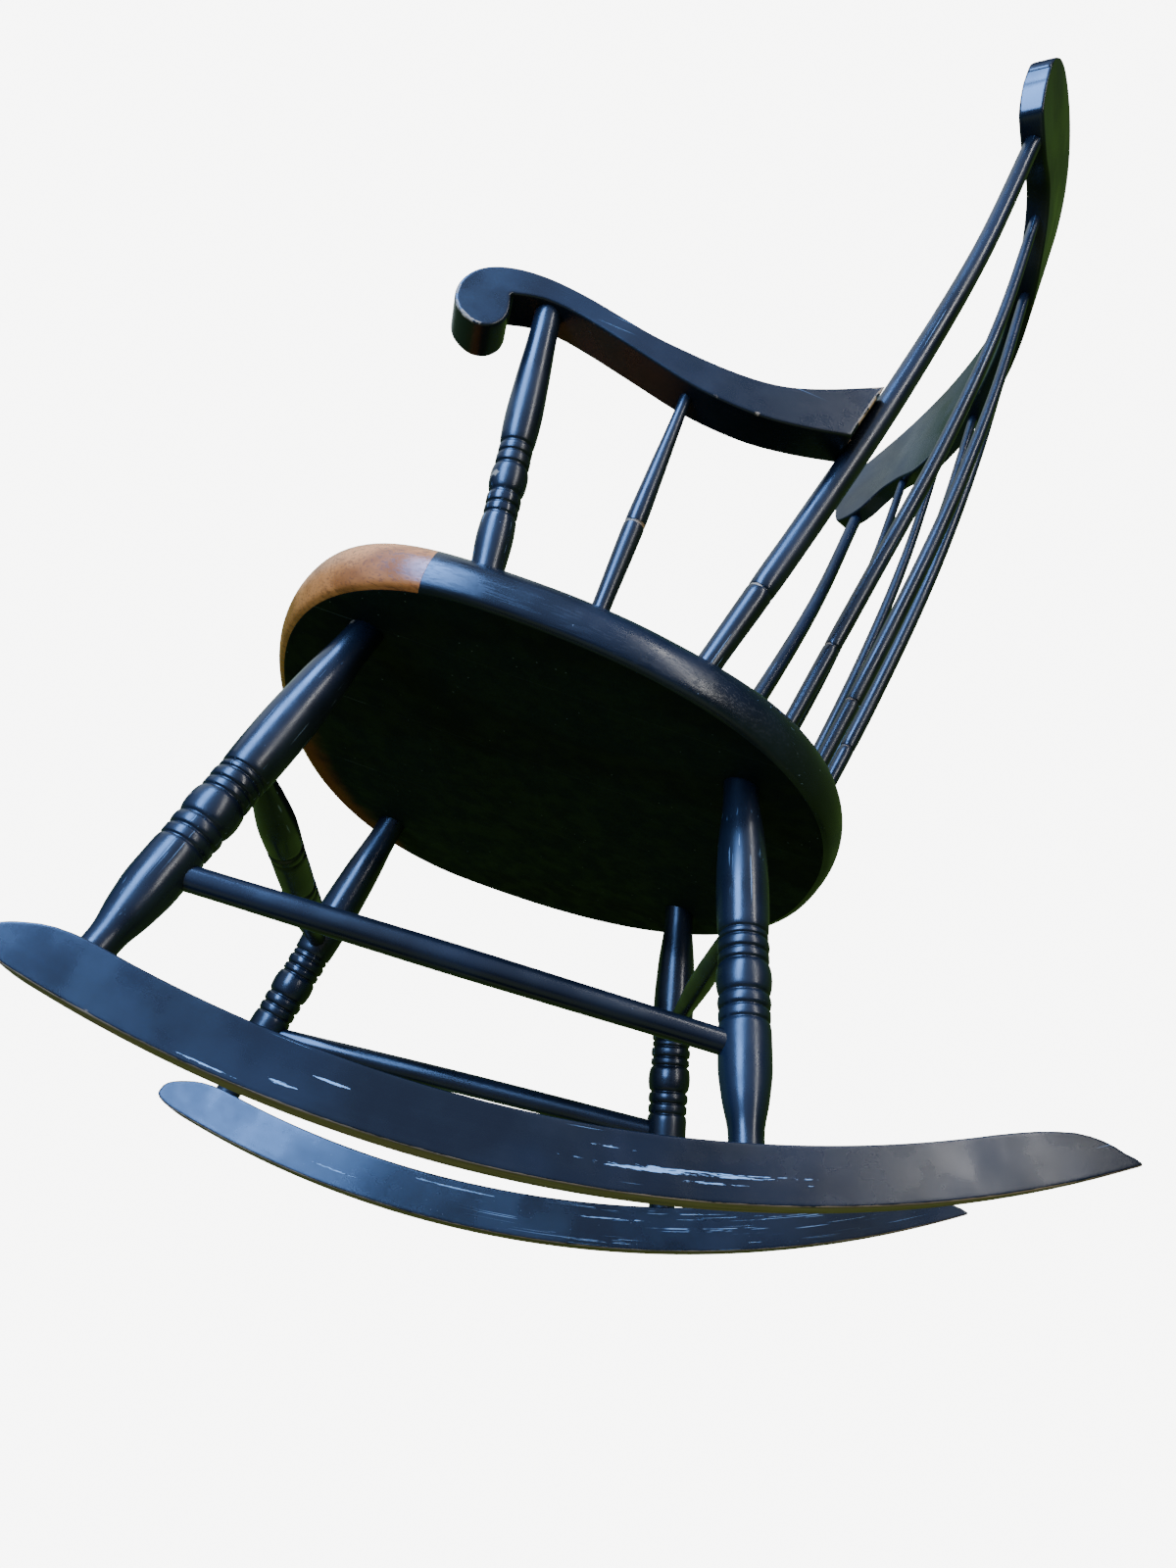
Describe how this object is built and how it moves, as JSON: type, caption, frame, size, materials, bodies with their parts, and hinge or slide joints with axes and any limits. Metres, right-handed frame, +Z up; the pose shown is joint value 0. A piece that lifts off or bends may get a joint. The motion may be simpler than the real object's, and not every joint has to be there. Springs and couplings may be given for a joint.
{
  "type": "rocking chair",
  "caption": "Boston style wooden rocking chair with a plank seat, turned legs, scrolled arms, a bent spindle back and a shaped crest rail on two curved rockers.",
  "frame": {"origin": "on the floor, under the middle of the chair's bounding box, with the chair standing at rest on its rockers", "axes": "+X towards the sitter's left, -Y towards the front, +Z up"},
  "size_m": [0.605, 0.7384, 1.0466],
  "materials": {
    "black_paint": "satin black paint over wood, worn through on sharp edges",
    "seat_finish": "satin black paint, with the rolled front of the plank left as clear-coated reddish brown wood",
    "bare_wood": "plain dowel, unfinished"
  },
  "bodies": {
    "root": {"arm_dowel_left": "bare_wood", "arm_dowel_right": "bare_wood", "arm_left": "black_paint", "arm_post_left": "black_paint", "arm_post_right": "black_paint", "arm_right": "black_paint", "arm_spindle_left": "black_paint", "arm_spindle_right": "black_paint", "back_post_left": "black_paint", "back_post_right": "black_paint", "back_spindle_1": "black_paint", "back_spindle_2": "black_paint", "back_spindle_3": "black_paint", "back_spindle_4": "black_paint", "back_spindle_5": "black_paint", "back_spindle_6": "black_paint", "crest_rail": "black_paint", "front_stretcher": "black_paint", "leg_front_left": "black_paint", "leg_front_right": "black_paint", "leg_rear_left": "black_paint", "leg_rear_right": "black_paint", "rear_stretcher": "black_paint", "rocker_left": "black_paint", "rocker_right": "black_paint", "seat": "seat_finish", "side_stretcher_left": "black_paint", "side_stretcher_right": "black_paint"}
  },
  "joints": []
}
